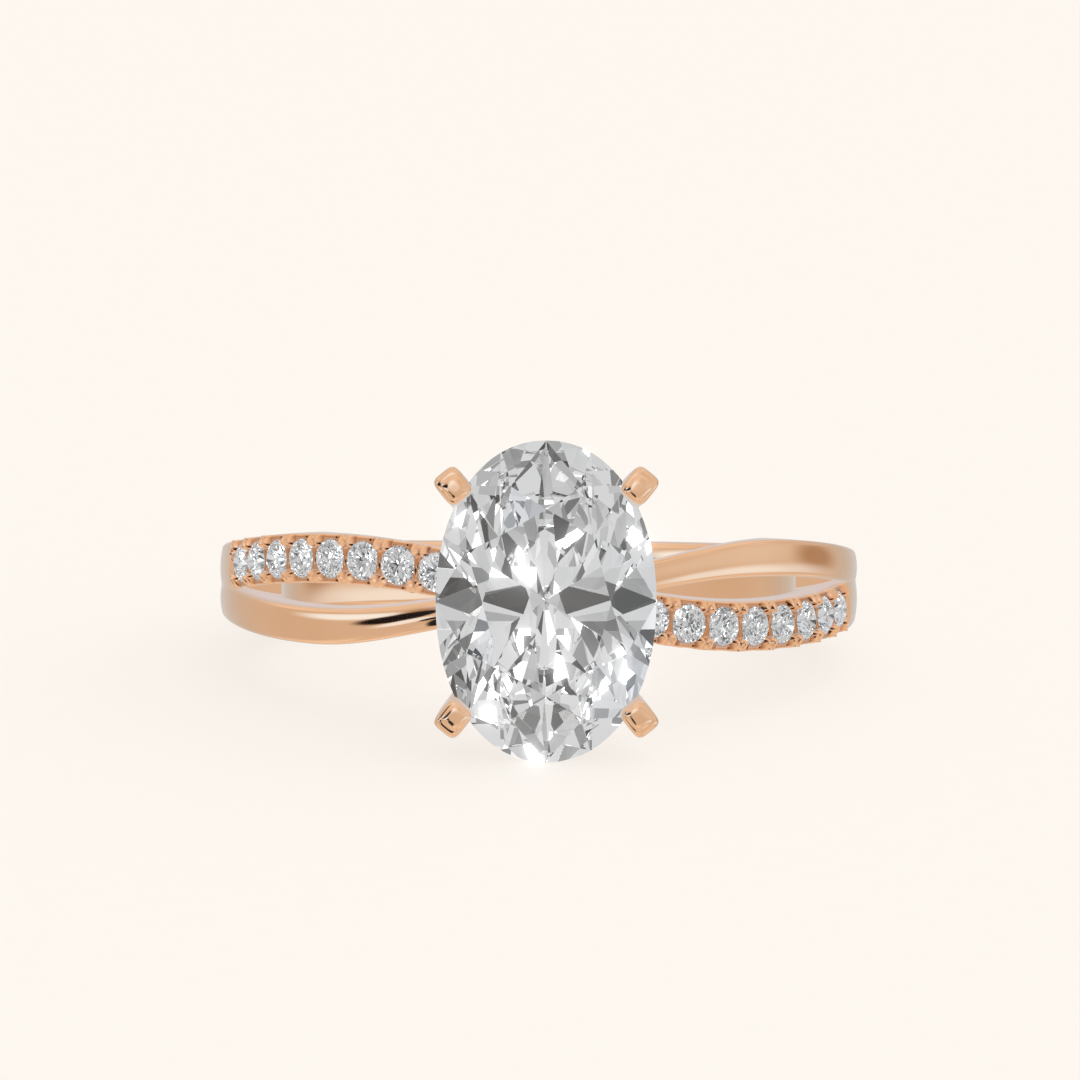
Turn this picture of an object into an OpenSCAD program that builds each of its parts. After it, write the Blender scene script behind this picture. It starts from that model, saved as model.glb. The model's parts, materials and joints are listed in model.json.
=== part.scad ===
// Split shank ring with an oval centre stone, all sizes in millimetres.
// A plain polished strand and a stone-set strand cross under the centre stone, part on each shoulder,
// and join again at the sides into one plain band.
// Every piece is drawn in the ring's own frame, with the finger hole along Z and the centre stone
// towards -Y. It is then laid on its side, the way the ring rests on a table by itself.

/* [Finger hole and band] */
// Inside diameter of the ring
bore_d = 17.3; // [16:0.1:19]
// Outside radius of the polished metal
outer_r = 10.7; // [10.4:0.05:11.2]
// Width of the band at the back of the finger
back_w = 2.0; // [1.7:0.05:2.2]
// Width of the band where the two strands have joined
joined_w = 2.2; // [2:0.05:2.4]
// Radius of the long outer edges
edge_r = 0.14; // [0.08:0.01:0.2]
// Height of the soft dome across a polished strand
dome_h = 0.1; // [0.02:0.01:0.16]

/* [Strands] */
// Width of the plain strand
plain_w = 1.2; // [1.1:0.02:1.3]
// Width of the stone-set strand
pave_w = 1.62; // [1.5:0.02:1.7]
// How far the middle of each strand swings out from the middle of the ring
swing = 1.11; // [1:0.01:1.25]
// Angle from the head where the strands are widest apart
swing_angle = 41; // [36:1:46]
// Angle from the head where the strands have fully joined
join_angle = 103; // [96:1:108]
// Offset of each strand from the middle of the ring once joined
joined_offset = 0.4; // [0.34:0.01:0.46]
// How far the plain strand dips to pass under the stone-set strand
dip = 0.55; // [0.3:0.05:0.8]

/* [Small stones] */
// Diameter of each small stone
small_d = 1.25; // [1.1:0.01:1.28]
// Angle from the head to the first small stone
first_angle = 19.4; // [19:0.1:20.5]
// Angle from one small stone to the next
stone_step = 7.28; // [7.2:0.02:7.34]
// Radius of the girdles of the small stones about the finger
small_girdle_r = 10.46; // [10.4:0.01:10.5]
// Width of each pair of small claws where it stands at the strand's edge
claw_pair_w = 0.54; // [0.4:0.01:0.56]
// Length of each pair of small claws, inwards from the strand's edge
claw_pair_l = 0.4; // [0.3:0.01:0.44]
// How far the small claws rise above the crowns of the small stones
small_claw_rise = 0.05; // [0.02:0.01:0.08]
// How far the stone-set strand's flat top lies below the polished metal
pave_drop = 0.14; // [0.1:0.01:0.2]

/* [Centre stone] */
// Length of the oval, along the finger
oval_l = 10.2; // [9.6:0.1:10.6]
// Width of the oval, round the finger
oval_w = 7; // [6.6:0.1:7.2]
// Radius of the girdle's lower edge about the finger
oval_girdle_r = 14.05; // [14:0.05:14.6]
// Height of the crown above the girdle
crown_h = 1.1; // [0.9:0.05:1.3]
// Height of the girdle
girdle_h = 0.2; // [0.1:0.05:0.3]
// Depth of the pavilion below the girdle
pavilion_h = 2.95; // [2.8:0.05:3]

/* [Centre claws] */
// Size of each claw round the stone
claw_w = 0.82; // [0.7:0.02:0.9]
// Size of each claw outwards from the stone
claw_l = 1.06; // [0.9:0.02:1.1]
// Offset of each claw from the stone's middle, round the finger
claw_x = 2.96; // [2.8:0.02:3]
// Offset of each claw from the stone's middle, along the finger
claw_y = 3.69; // [3.5:0.02:3.8]
// Height of each claw's tip above the girdle's lower edge
claw_h = 1.05; // [0.8:0.05:1.2]
// Diameter of the hidden gallery rail
rail_d = 0.64; // [0.5:0.02:0.7]

/* [Hidden] */
SMALL_COUNT = 8;
LEFT = -1;
RIGHT = 1;

rose_gold = "#d9a47c";
stone_colour = "#e8ebee";

bore_r = bore_d / 2;
// Clear space between a stone and the metal that holds it
stone_gap = 0.03;
small_gap = 0.05;
// The sweeps are drawn this deep into the finger hole, each to its own depth, and the hole cuts them off clean
band_inside = 0.3;
plain_inside = 0.5;
pave_inside = 0.7;
pave_end_inside = 0.9;
// The casting is meshed at this many times its size, so that its finest edges stay apart
work_scale = 20;
// Cross-sections along a strand, its stone-set stretch and the band
strand_steps = 42;
pave_steps = 30;
band_steps = 30;
// The polished metal starts at this angle, past the last small stone
pave_end = first_angle + stone_step * (SMALL_COUNT - 0.4);
// The strands run past the join by this angle, and sink into the band behind over the next
lap_angle = 0.5;
blend_angle = 8;
// How deep an end sinks below the metal that carries on
sink = 0.2;
// The polished ends stand this much proud of the stone-set stretch's walls
end_proud = 0.01;
// Angle at which the plain strand starts to dip
dip_angle = 27;
// Half of the shift that the stone-set strand's greater width gives to the joined band
lean = (pave_w - plain_w) / 4;

// Proportions of a brilliant cut: the table's share of the width, the height share and width share
// of the points between the star and the kite facets, and of the tips of the lower half facets
table_share = 0.58;
star_height = 0.55;
star_width = 0.8;
half_height = 0.72;
half_width = 0.26;
// Fullness of the oval's outline, where 2 is an ellipse
oval_power = 2.11;
oval_sides = 32;
round_sides = 16;

// Proportions of a small stone, as shares of its diameter
small_crown = 0.15 * small_d;
small_girdle = 0.03 * small_d;
small_pavilion = 0.42 * small_d;
seat_depth = small_pavilion + 2 * small_gap;
seat_sides = 8;
// A pair of small claws narrows to this width between the stones, and stands in from the edge by this much
claw_pair_tip = 0.14;
claw_inset = 0.02;

// Where the middle of each strand lies along the finger, by its angle from the head
function eased(t) = (1 - cos(180 * t)) / 2;
function share(a, from, to) = min(1, max(0, (a - from) / (to - from)));
function rising(a) = swing * sin(90 * a / swing_angle);
function falling(a) = swing - (swing - joined_offset) * eased(share(a, swing_angle, join_angle));
function strand_offset(a) = a < swing_angle ? rising(a) : falling(a);
function pave_offset(a) = -sign(a) * strand_offset(abs(a));
function plain_offset(a) = sign(a) * strand_offset(abs(a));

// A strand or band runs a little past the join at its full size, and its end then sinks out of sight
// inside the metal that carries on
function spread(reach, steps) = [for (i = [0 : steps]) reach * (2 * i / steps - 1)];
function with_ends(reach, steps) = concat(
    [-reach - blend_angle],
    spread(reach, steps),
    [reach + blend_angle]
);
function sunk(a, reach) = abs(a) > reach + blend_angle / 2 ? sink : 0;
strand_reach = join_angle + lap_angle;
strand_angles = with_ends(strand_reach, strand_steps);
band_reach = 180 - join_angle;
band_angles = with_ends(band_reach + lap_angle, band_steps);

// The plain strand dips below the stone-set strand as it nears the head
function plain_dip(a) = dip * eased(1 - share(abs(a), 0, dip_angle));

// Half width and middle of the band behind, by the angle from the back
function band_half(b) = back_w / 2 + (joined_w - back_w) / 2 * eased(share(abs(b), 0, band_reach));
function band_middle(b) = sign(b) * lean * eased(share(abs(b), 0, band_reach));

// A point of the ring from its angle about the finger, its radius and its place along the finger
function on_ring(a, r, z) = [r * sin(a), -r * cos(a), z];

// One cross-section of a strand as pairs of radius and place: inner corners, rounded edges, soft dome
function edge_arc(side, half, r) = [
    for (t = [0 : 45 : 90]) [r - edge_r * (1 - sin(t)), side * (half - edge_r * (1 - cos(t)))]
];
function reversed(list) = [for (i = [len(list) - 1 : -1 : 0]) list[i]];
function section(half, r, inside) = concat(
    [[bore_r - inside, half]],
    edge_arc(1, half, r - dome_h),
    [[r, 0]],
    reversed(edge_arc(-1, half, r - dome_h)),
    [[bore_r - inside, -half]]
);
function flat_section(half, r, inside) = [
    [bore_r - inside, half],
    [r, half],
    [r, -half],
    [bore_r - inside, -half]
];
function placed(profile, a, middle) = [for (p = profile) on_ring(a, p[0], middle + p[1])];

// A closed solid through cross-sections that all have the same number of points
module skin(rings) {
    n = len(rings[0]);
    last = len(rings) - 1;
    points = [for (ring = rings) each ring];
    sides = [
        for (i = [0 : last - 1], j = [0 : n - 1])
            let (k = (j + 1) % n)
                each [
                    [i * n + j, (i + 1) * n + j, (i + 1) * n + k],
                    [i * n + j, (i + 1) * n + k, i * n + k]
                ]
    ];
    start_cap = [[for (j = [0 : n - 1]) j]];
    end_cap = [[for (j = [n - 1 : -1 : 0]) last * n + j]];
    polyhedron(points, concat(sides, start_cap, end_cap));
}

module plain_strand() {
    skin([
        for (a = strand_angles)
            let (low = sunk(a, strand_reach))
                placed(section(plain_w / 2 - low, outer_r - plain_dip(a) - low, plain_inside),
                    a, plain_offset(a))
    ]);
}

// The stretch that holds the small stones has a flat top, and past the last stone it is polished metal
module pave_strand() {
    skin([
        for (a = spread(pave_end, pave_steps))
            placed(flat_section(pave_w / 2, outer_r - pave_drop, pave_inside), a, pave_offset(a))
    ]);
    polished_end(LEFT);
    polished_end(RIGHT);
}

module polished_end(side) {
    skin([
        for (a = strand_angles)
            if (side * a > pave_end - blend_angle / 4)
                let (low = sunk(a, strand_reach) - end_proud)
                    placed(section(pave_w / 2 - low, outer_r - low, pave_end_inside), a, pave_offset(a))
    ]);
}

module band_behind() {
    skin([
        for (b = band_angles)
            let (low = sunk(b, band_reach))
                placed(section(band_half(b) - low, outer_r - low, band_inside), 180 + b, band_middle(b))
    ]);
}

// Puts its children on the ring: their Z points out from the finger and their Y along the finger
module seat(a, r, z) {
    rotate([0, 0, a])
        translate([0, -r, z])
            rotate([90, 0, 0])
                children();
}

// A brilliant with its girdle's lower edge on Z = 0 and its table up
function outline(a, half_x, half_y, power) = [
    half_x * sign(cos(a)) * pow(abs(cos(a)), 2 / power),
    half_y * sign(sin(a)) * pow(abs(sin(a)), 2 / power)
];
function stone_ring(count, turn, half_x, half_y, power, size, z) = [
    for (k = [0 : count - 1])
        let (p = outline(turn + 360 * k / count, half_x, half_y, power)) [size * p[0], size * p[1], z]
];

module brilliant(width, length, power, sides, crown, girdle, pavilion) {
    x = width / 2;
    y = length / 2;
    per_facet = sides / 8;
    table = stone_ring(8, 0, x, y, power, table_share, girdle + crown);
    star = stone_ring(8, 22.5, x, y, power, star_width, girdle + crown * star_height);
    upper = stone_ring(sides, 0, x, y, power, 1, girdle);
    lower = stone_ring(sides, 0, x, y, power, 1, 0);
    half = stone_ring(8, 22.5, x, y, power, half_width, -pavilion * half_height);
    culet = [[0, 0, -pavilion]];
    T = 0;
    S = 8;
    U = 16;
    L = U + sides;
    H = L + sides;
    C = H + 8;
    faces = concat(
        [[for (k = [7 : -1 : 0]) T + k]],
        [for (k = [0 : 7]) [T + k, T + (k + 1) % 8, S + k]],
        [for (k = [0 : 7]) [T + k, S + k, U + k * per_facet]],
        [for (k = [0 : 7]) [T + k, U + k * per_facet, S + (k + 7) % 8]],
        [for (k = [0 : 7], j = [0 : per_facet - 1])
            [S + k, U + (k * per_facet + j + 1) % sides, U + k * per_facet + j]],
        [for (j = [0 : sides - 1]) each [
            [U + j, U + (j + 1) % sides, L + (j + 1) % sides],
            [U + j, L + (j + 1) % sides, L + j]
        ]],
        [for (k = [0 : 7], j = [0 : per_facet - 1])
            [H + k, L + k * per_facet + j, L + (k * per_facet + j + 1) % sides]],
        [for (k = [0 : 7]) [C, L + k * per_facet, H + k]],
        [for (k = [0 : 7]) [C, H + (k + 7) % 8, L + k * per_facet]]
    );
    polyhedron(concat(table, star, upper, lower, half, culet), faces);
}

module oval_stone(grow) {
    translate([0, 0, -grow])
        brilliant(oval_w + 2 * grow, oval_l + 2 * grow, oval_power, oval_sides,
            crown_h, girdle_h + 2 * grow, pavilion_h + grow);
}

module small_stone(grow) {
    translate([0, 0, -grow])
        brilliant(small_d + 2 * grow, small_d + 2 * grow, 2, round_sides,
            small_crown, small_girdle + 2 * grow, small_pavilion + grow);
}

// Each small stone lies square to its strand, which climbs and falls along the finger
function small_angle(side, i) = side * (first_angle + stone_step * (i - 1));
function climb(a) = atan2(pave_offset(a + 1) - pave_offset(a - 1), 2 * outer_r * PI / 180);

module on_pave_strand(a) {
    seat(a, small_girdle_r, pave_offset(a))
        rotate([0, 0, climb(a)])
            children();
}

// The hole that takes one small stone, with a gap round it: a straight mouth over a point.
// Neighbouring mouths run together, so no thin wall is left between two stones.
module small_seat() {
    mouth_h = 0.6;
    mouth_r = (small_d / 2 + small_gap) / cos(180 / seat_sides);
    rotate([0, 0, 180 / seat_sides])
        rotate_extrude($fn = seat_sides)
            polygon([
                [0, -small_gap - seat_depth],
                [mouth_r, -small_gap],
                [mouth_r, mouth_h],
                [0, mouth_h]
            ]);
}

// The well between two neighbouring stones, where their seats run together
module small_well() {
    well_l = 0.4;
    well_w = 0.6;
    well_depth = 0.22;
    well_h = 0.8;
    translate([-well_l / 2, -well_w / 2, -well_depth])
        cube([well_l, well_w, well_h]);
}

// The claws that stand between two neighbouring stones, a wedge at each edge of the strand
module small_claws() {
    outer = pave_w / 2 - claw_inset;
    inner = outer - claw_pair_l;
    wedge = [
        [-claw_pair_w / 2, outer],
        [-claw_pair_tip / 2, inner],
        [claw_pair_tip / 2, inner],
        [claw_pair_w / 2, outer]
    ];
    for (m = [0, 1])
        mirror([0, m, 0])
            translate([0, 0, -small_crown])
                linear_extrude(height = 2 * small_crown + small_claw_rise)
                    polygon(wedge);
}

// The middle line of one centre claw, from its foot in the crossing to its tip beside the stone
foot_share = 0.17;
bow_share = 0.62;
tip_r = oval_girdle_r + claw_h;
foot_r = outer_r - 0.8;
claw_turn = atan2(claw_y, claw_x);
claw_out = norm([claw_x, claw_y]);
function bezier(p, t) = pow(1 - t, 3) * p[0] + 3 * t * pow(1 - t, 2) * p[1]
    + 3 * t * t * (1 - t) * p[2] + pow(t, 3) * p[3];
function slope(p, t) = bezier(p, min(1, t + 0.01)) - bezier(p, max(0, t - 0.01));
// Pairs of distance from the stone's axis and radius about the finger
claw_line = [
    [foot_share * claw_out, foot_r],
    [bow_share * claw_out, foot_r + 0.7],
    [claw_out, oval_girdle_r - 1.6],
    [claw_out, tip_r]
];

// A rounded rectangle across the claw's line
claw_sides = 12;
claw_power = 5;
foot_size = 0.72;
function claw_ring(t, size, rise) =
    let (c = bezier(claw_line, t), s = slope(claw_line, t), d = s / norm(s))
    let (grow = foot_size + (1 - foot_size) * min(1, t * 1.3))
    [for (k = [0 : claw_sides - 1])
        let (p = outline(360 * k / claw_sides, claw_l / 2 * grow * size, claw_w / 2 * grow * size, claw_power))
            [c[0] + p[0] * d[1] + rise * d[0], p[1], c[1] - p[0] * d[0] + rise * d[1]]
    ];

module centre_claw() {
    tip_round = [[1, -0.16], [0.96, -0.06], [0.84, 0.02], [0.5, 0.08]];
    skin(concat(
        [for (t = [0 : 0.16 : 0.96]) claw_ring(t, 1, 0)],
        [for (p = tip_round) claw_ring(1, p[0], p[1])]
    ));
}

module four_claws() {
    for (x = [0, 1], y = [0, 1])
        mirror([x, 0, 0])
            mirror([0, y, 0])
                rotate([0, 0, claw_turn])
                    centre_claw();
}

// The plain rail that ties the claws together, hidden below the stone
module gallery_rail() {
    rail_height = oval_girdle_r - 1.65;
    rail_steps = 24;
    rail_sides = 6;
    half_x = 2.95;
    half_y = half_x * oval_l / oval_w;
    points = [
        for (i = [0 : rail_steps - 1], j = [0 : rail_sides - 1])
            let (u = 360 * i / rail_steps, v = 360 * j / rail_sides, q = rail_d / 2)
                [
                    (half_x + q * cos(v)) * cos(u),
                    (half_y + q * cos(v)) * sin(u),
                    rail_height + q * sin(v)
                ]
    ];
    faces = [
        for (i = [0 : rail_steps - 1], j = [0 : rail_sides - 1])
            let (k = (i + 1) % rail_steps, m = (j + 1) % rail_sides)
                each [
                    [i * rail_sides + j, i * rail_sides + m, k * rail_sides + m],
                    [i * rail_sides + j, k * rail_sides + m, k * rail_sides + j]
                ]
    ];
    polyhedron(points, faces);
}

// All the metal before the finger hole is cut, as one fused casting
module casting() {
    difference() {
        union() {
            plain_strand();
            band_behind();
            difference() {
                union() {
                    pave_strand();
                    for (side = [LEFT, RIGHT], i = [0 : SMALL_COUNT])
                        on_pave_strand(small_angle(side, i + 0.5)) small_claws();
                }
                for (side = [LEFT, RIGHT], i = [1 : SMALL_COUNT])
                    on_pave_strand(small_angle(side, i)) small_seat();
                for (side = [LEFT, RIGHT], i = [1 : SMALL_COUNT - 1])
                    on_pave_strand(small_angle(side, i + 0.5)) small_well();
            }
            seat(0, 0, 0) {
                four_claws();
                gallery_rail();
            }
        }
        seat(0, oval_girdle_r, 0) oval_stone(stone_gap);
    }
}

// The ring rests on the stone's lower end and on the lower edge of the band at the back.
// Both lie on the table when the ring is turned by this angle about X and lifted by this height.
rest_forward = oval_girdle_r + outer_r - dome_h - edge_r;
rest_drop = oval_l / 2 - (back_w / 2 - edge_r);
rest_tilt = asin(edge_r / norm([rest_forward, rest_drop])) - atan2(rest_drop, rest_forward);
rest_lift = oval_l / 2 * cos(rest_tilt) + oval_girdle_r * sin(rest_tilt);
// The box's middle from front to back, between the claws' tips and the back of the band
front_reach = tip_r * cos(rest_tilt) - claw_y * sin(rest_tilt);
back_reach = outer_r * cos(rest_tilt);
rest_shift = (front_reach - back_reach) / 2;

module lay_down() {
    translate([0, rest_shift, rest_lift])
        rotate([rest_tilt, 0, 0])
            children();
}

module shank_and_setting() {
    color(rose_gold)
        lay_down()
            difference() {
                scale(1 / work_scale)
                    resize([0, 0, 0])
                        scale(work_scale)
                            casting();
                cylinder(h = oval_l, r = bore_r, center = true, $fn = 180);
            }
}

module centre_stone() {
    color(stone_colour)
        lay_down()
            seat(0, oval_girdle_r, 0)
                oval_stone(0);
}

module pave_stone(side, i) {
    color(stone_colour)
        lay_down()
            on_pave_strand(small_angle(side, i))
                small_stone(0);
}

shank_and_setting();
centre_stone();
for (i = [1 : SMALL_COUNT]) {
    pave_stone(LEFT, i);
    pave_stone(RIGHT, i);
}
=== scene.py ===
"""Looks of the split shank ring: polished rose gold, a stone-set strand and cut stones on a pale floor.

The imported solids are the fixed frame. Every piece is drawn in the ring's own frame, in millimetres, with the
finger hole along Z and the centre stone towards -Y, and is then laid into the row frame by the finger hole's
mount, in metres.
"""

import json
import math

import bmesh
import bpy
import numpy as np
from mathutils import Matrix, Vector


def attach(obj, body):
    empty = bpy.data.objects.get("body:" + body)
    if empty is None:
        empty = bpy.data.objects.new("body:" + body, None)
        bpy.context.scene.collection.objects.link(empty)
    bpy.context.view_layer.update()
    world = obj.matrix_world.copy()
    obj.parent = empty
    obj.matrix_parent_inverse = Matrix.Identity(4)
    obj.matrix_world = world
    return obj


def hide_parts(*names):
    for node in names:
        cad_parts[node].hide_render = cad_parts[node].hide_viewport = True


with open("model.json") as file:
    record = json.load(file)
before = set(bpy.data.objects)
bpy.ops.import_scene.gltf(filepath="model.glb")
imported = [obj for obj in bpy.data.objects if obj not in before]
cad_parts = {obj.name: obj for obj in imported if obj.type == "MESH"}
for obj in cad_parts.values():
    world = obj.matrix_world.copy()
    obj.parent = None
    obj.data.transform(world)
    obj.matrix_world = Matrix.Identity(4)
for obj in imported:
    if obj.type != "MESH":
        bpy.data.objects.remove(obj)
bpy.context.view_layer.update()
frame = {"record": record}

# Ring frame: where the solids say that the finger hole lies
HOLE = frame["record"]["mounts"][0]
MM = 0.001
RING_CENTRE = Vector(HOLE["pos_m"])
RING_Z = Vector(HOLE["axis"]).normalized()
RING_X = Vector((1, 0, 0))
RING_Y = RING_Z.cross(RING_X).normalized()
LEFT, RIGHT = -1, 1

# Band and strands, in millimetres and degrees, as the solids have them
BORE_R = HOLE["dims"]["r_mm"]
OUTER_R = 10.7
BACK_W = 2.0
JOINED_W = 2.2
EDGE_R = 0.14
DOME_H = 0.1
PLAIN_W = 1.2
PAVE_W = 1.62
SWING = 1.11
SWING_ANGLE = 41
JOIN_ANGLE = 103
JOINED_OFFSET = 0.4
DIP = 0.55
DIP_ANGLE = 27
LEAN = (PAVE_W - PLAIN_W) / 4
# Bevel along the bore's edges
BORE_EDGE = 0.05

# Small stones and the metal round them
SMALL_COUNT = 8
SMALL_D = 1.25
FIRST_ANGLE = 19.4
STONE_STEP = 7.28
SMALL_GIRDLE_R = 10.46
PAVE_END = FIRST_ANGLE + STONE_STEP * (SMALL_COUNT - 0.4)

# Centre stone and its claws
OVAL_L = 10.2
OVAL_W = 7.0
OVAL_GIRDLE_R = 14.05
CROWN_H = 1.1
GIRDLE_H = 0.2
PAVILION_H = 2.95
OVAL_POWER = 2.11
CLAW_W = 0.93
CLAW_L = 1.07
CLAW_X = 2.96
CLAW_Y = 3.69
CLAW_H = 1.05
RAIL_D = 0.64


# Shapes along the ring

def eased(t):
    return (1 - np.cos(np.pi * t)) / 2


def share(a, start, end):
    return np.clip((a - start) / (end - start), 0, 1)


def strand_offset(a):
    """How far the middle of a strand lies from the ring's middle, by its angle from the head."""
    rising = SWING * np.sin(np.radians(90 * a / SWING_ANGLE))
    falling = SWING - (SWING - JOINED_OFFSET) * eased(share(a, SWING_ANGLE, JOIN_ANGLE))
    return np.where(a < SWING_ANGLE, rising, falling)


def pave_offset(a):
    return -np.sign(a) * strand_offset(np.abs(a))


def plain_offset(a):
    return np.sign(a) * strand_offset(np.abs(a))


def plain_dip(a):
    return DIP * eased(1 - share(np.abs(a), 0, DIP_ANGLE))


# Radius at which a strand's walls lie where its front outline has them
WALL_R = 10.4
# Angles over which the wall away from the gap turns back to the ring's own radii
WALL_TURNED = (50, 75)
# How far that wall draws in at the finger
DRAFT = 0.05


def angle_in_front(a, r):
    """Angle of the place on a strand's face that lies straight in front of a point of its wall."""
    reach = np.clip(r / WALL_R, 0, 1) * np.sin(np.radians(np.clip(a, -90, 90)))
    return np.degrees(np.arcsin(reach))


def strand_middle(offset, a, r, x, half):
    """Middle of a strand at a point of its cross-section, whose walls run straight back from its face.

    The wall away from the gap draws in a little towards the finger, and turns back to the ring's own
    radii towards the shoulders.
    """
    by_gap = angle_in_front(a, r)
    outside = by_gap + (a - by_gap) * eased(share(np.abs(a), *WALL_TURNED))
    side = np.sign(offset(a))
    away = (1 + side * x / half) / 2
    draft = side * away * DRAFT * share(r, WALL_R, BORE_R) * share(np.abs(a), *WALL_TURNED[::-1])
    return offset(by_gap) + (offset(outside) - offset(by_gap)) * away - draft


# How far the band behind hangs lower, and the angles from its back over which it starts and ends to
LOWERED = 0.05
LOWERED_FROM = (8, 32)
LOWERED_TO = (76, 55)


def lowered(b):
    """How far the band behind reaches lower between its back and the shoulders."""
    reach = np.abs(b)
    return LOWERED * eased(share(reach, *LOWERED_FROM)) * eased(share(reach, *LOWERED_TO))


def from_back(b):
    """0 at the middle of the band's back and 1 where the strands have joined."""
    return eased(share(np.abs(b), 0, 180 - JOIN_ANGLE))


def band_half(b):
    return BACK_W / 2 + (JOINED_W - BACK_W) / 2 * from_back(b) + lowered(b)


def band_middle(b):
    return np.sign(b) * LEAN * from_back(b) - lowered(b)


def on_ring(a, r, z):
    """Points of the ring from their angle about the finger, their radius and their place along it."""
    t = np.radians(a)
    return np.stack(np.broadcast_arrays(r * np.sin(t), -r * np.cos(t), z), axis=-1)


def edge_drop(x, half, e=EDGE_R):
    """How far a rounded long edge lies below the face, by the distance from the strand's middle."""
    over = np.clip((np.abs(x) - (half - e)) / e, 0, 1)
    return e * (1 - np.sqrt(1 - over ** 2))


def domed(x, half):
    """Drop of a softly domed face with rounded edges below its ridge."""
    return DOME_H * (x / half) ** 2 + edge_drop(x, half)


def across(half, steps, e=EDGE_R, edge_steps=6):
    """Places across a face from +half to -half, close together on its rounded edges."""
    arc = half - e + e * np.sin(np.radians(np.linspace(90, 0, edge_steps, endpoint=False)))
    flat = np.linspace(half - e, -(half - e), steps)
    return np.concatenate([arc, flat, -arc[::-1]])


# Meshes

SAME_POINT_M = 1e-8


def sew(mesh):
    """Joins the parts of a mesh where their points meet, with all faces outwards."""
    work = bmesh.new()
    work.from_mesh(mesh)
    bmesh.ops.remove_doubles(work, verts=work.verts, dist=SAME_POINT_M)
    bmesh.ops.recalc_face_normals(work, faces=work.faces)
    work.to_mesh(mesh)
    work.free()


def make_piece(name, points, faces, slot, material, sharp_angle=None, recess=None, sewn=False):
    """A mesh object from points in the ring frame, in millimetres, laid into the row frame."""
    axes = np.array([RING_X, RING_Y, RING_Z])
    placed = np.asarray(points, float) * MM @ axes + np.array(RING_CENTRE)
    mesh = bpy.data.meshes.new(name)
    mesh.from_pydata(placed.tolist(), [], faces)
    mesh.validate()
    if sewn:
        sew(mesh)
    mesh.update()
    if sharp_angle is not None:
        mesh.shade_smooth()
        mesh.set_sharp_from_angle(angle=math.radians(sharp_angle))
    if recess is not None:
        # The attribute holds the cut face's duller tone and the shade painted into its corners
        depths = mesh.attributes.new("recess", "FLOAT", "POINT").data
        depths.foreach_set("value", recess.astype(np.float32))
    mesh.materials.append(material)
    piece = bpy.data.objects.new(name, mesh)
    bpy.context.scene.collection.objects.link(piece)
    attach(piece, "root")
    return piece


def signed_volume(points, quads):
    a, b, c, d = (points[quads[:, q]] for q in range(4))
    return np.sum(np.cross(b - a, c - a) * a) + np.sum(np.cross(c - a, d - a) * a)


def skin(rings, closed=False, ends=2):
    """Points and outward faces of a solid through closed cross-sections of equally many points."""
    rings = np.asarray(rings, float)
    count, n = rings.shape[:2]
    i, j = np.meshgrid(np.arange(count if closed else count - 1), np.arange(n), indexing="ij")
    k, m = (j + 1) % n, (i + 1) % count
    quads = np.stack([i * n + j, m * n + j, m * n + k, i * n + k], axis=-1).reshape(-1, 4)
    caps = [list(range(n)), list(range(count * n - 1, (count - 1) * n - 1, -1))]
    caps = [] if closed else caps[:ends]
    points = rings.reshape(-1, 3)
    if signed_volume(points, quads) < 0:
        quads = quads[:, ::-1]
        caps = [cap[::-1] for cap in caps]
    return points, quads.tolist() + caps


def joined_meshes(parts):
    """One list of points and faces from several."""
    points, faces, base = [], [], 0
    for p, f in parts:
        points.append(p)
        faces += [[base + v for v in face] for face in f]
        base += len(p)
    return np.concatenate(points), faces


# Polished metal

# How far the plain strand narrows, over which angles, and where its sides change over at the head
NARROWED = 0.25
NARROWED_ANGLES = (46, 16)
CROSSING_ANGLE = 12


def narrowed(a, r, x, half):
    """How far a point of the plain strand moves in, where its far side narrows towards the crossing."""
    front = angle_in_front(a, r)
    side = np.clip(front / CROSSING_ANGLE, -1, 1)
    away = (1 + np.sign(a) * x / half) / 2
    return side * away * NARROWED * eased(share(np.abs(front), *NARROWED_ANGLES))


PLAIN_STEPS = 24
PLAIN_WALL_R = (BORE_R, BORE_R + BORE_EDGE, 9.1, 9.5, 9.8)


def wall_places(half, radii):
    """Places across a strand of the points of its side wall, the first of them on the bore's edge."""
    return np.array([half - BORE_EDGE] + [half] * (len(radii) - 1))


def plain_ring(a, inset):
    """One closed cross-section of the polished strand: bore, side wall, domed face, side wall."""
    half = PLAIN_W / 2
    x = across(half, PLAIN_STEPS)
    r = OUTER_R - plain_dip(a) - domed(x, half)
    wall_r = np.array(PLAIN_WALL_R)
    wall_x = wall_places(half, wall_r)
    x = np.concatenate([wall_x, x, -wall_x[::-1]])
    r = np.concatenate([wall_r + inset, r - inset, wall_r[::-1] + inset])
    z = strand_middle(plain_offset, a, r, x, half) + x * (1 - inset / half)
    return on_ring(a, r, z - narrowed(a, r, x, half))


STRAND_STEP = 0.75
# Angle from the head where the joined band takes over, and how far the strands run on inside it
JOINT_ANGLE = 82
LAP = 2.0
LAP_INSET = 0.03
LAP_INSET_ANGLE = 0.3
# The plain strand lies this much inside the faces that it shares with other pieces
HIDDEN_INSET = 0.002


def lap_inset(angles):
    """How far a strand's skin draws in where the strand runs on inside the joined band."""
    return LAP_INSET * share(np.abs(angles), JOINT_ANGLE, JOINT_ANGLE + LAP_INSET_ANGLE)


def plain_strand():
    """The plain strand, from one shoulder under the stone-set strand to the other."""
    reach = JOINT_ANGLE + LAP
    angles = np.linspace(-reach, reach, int(2 * reach / STRAND_STEP) + 1)
    insets = lap_inset(angles) + HIDDEN_INSET
    return skin([plain_ring(a, inset) for a, inset in zip(angles, insets)])


FACE_TOLERANCE = 1e-6
BESIDE_STRAND = -1.0


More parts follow.
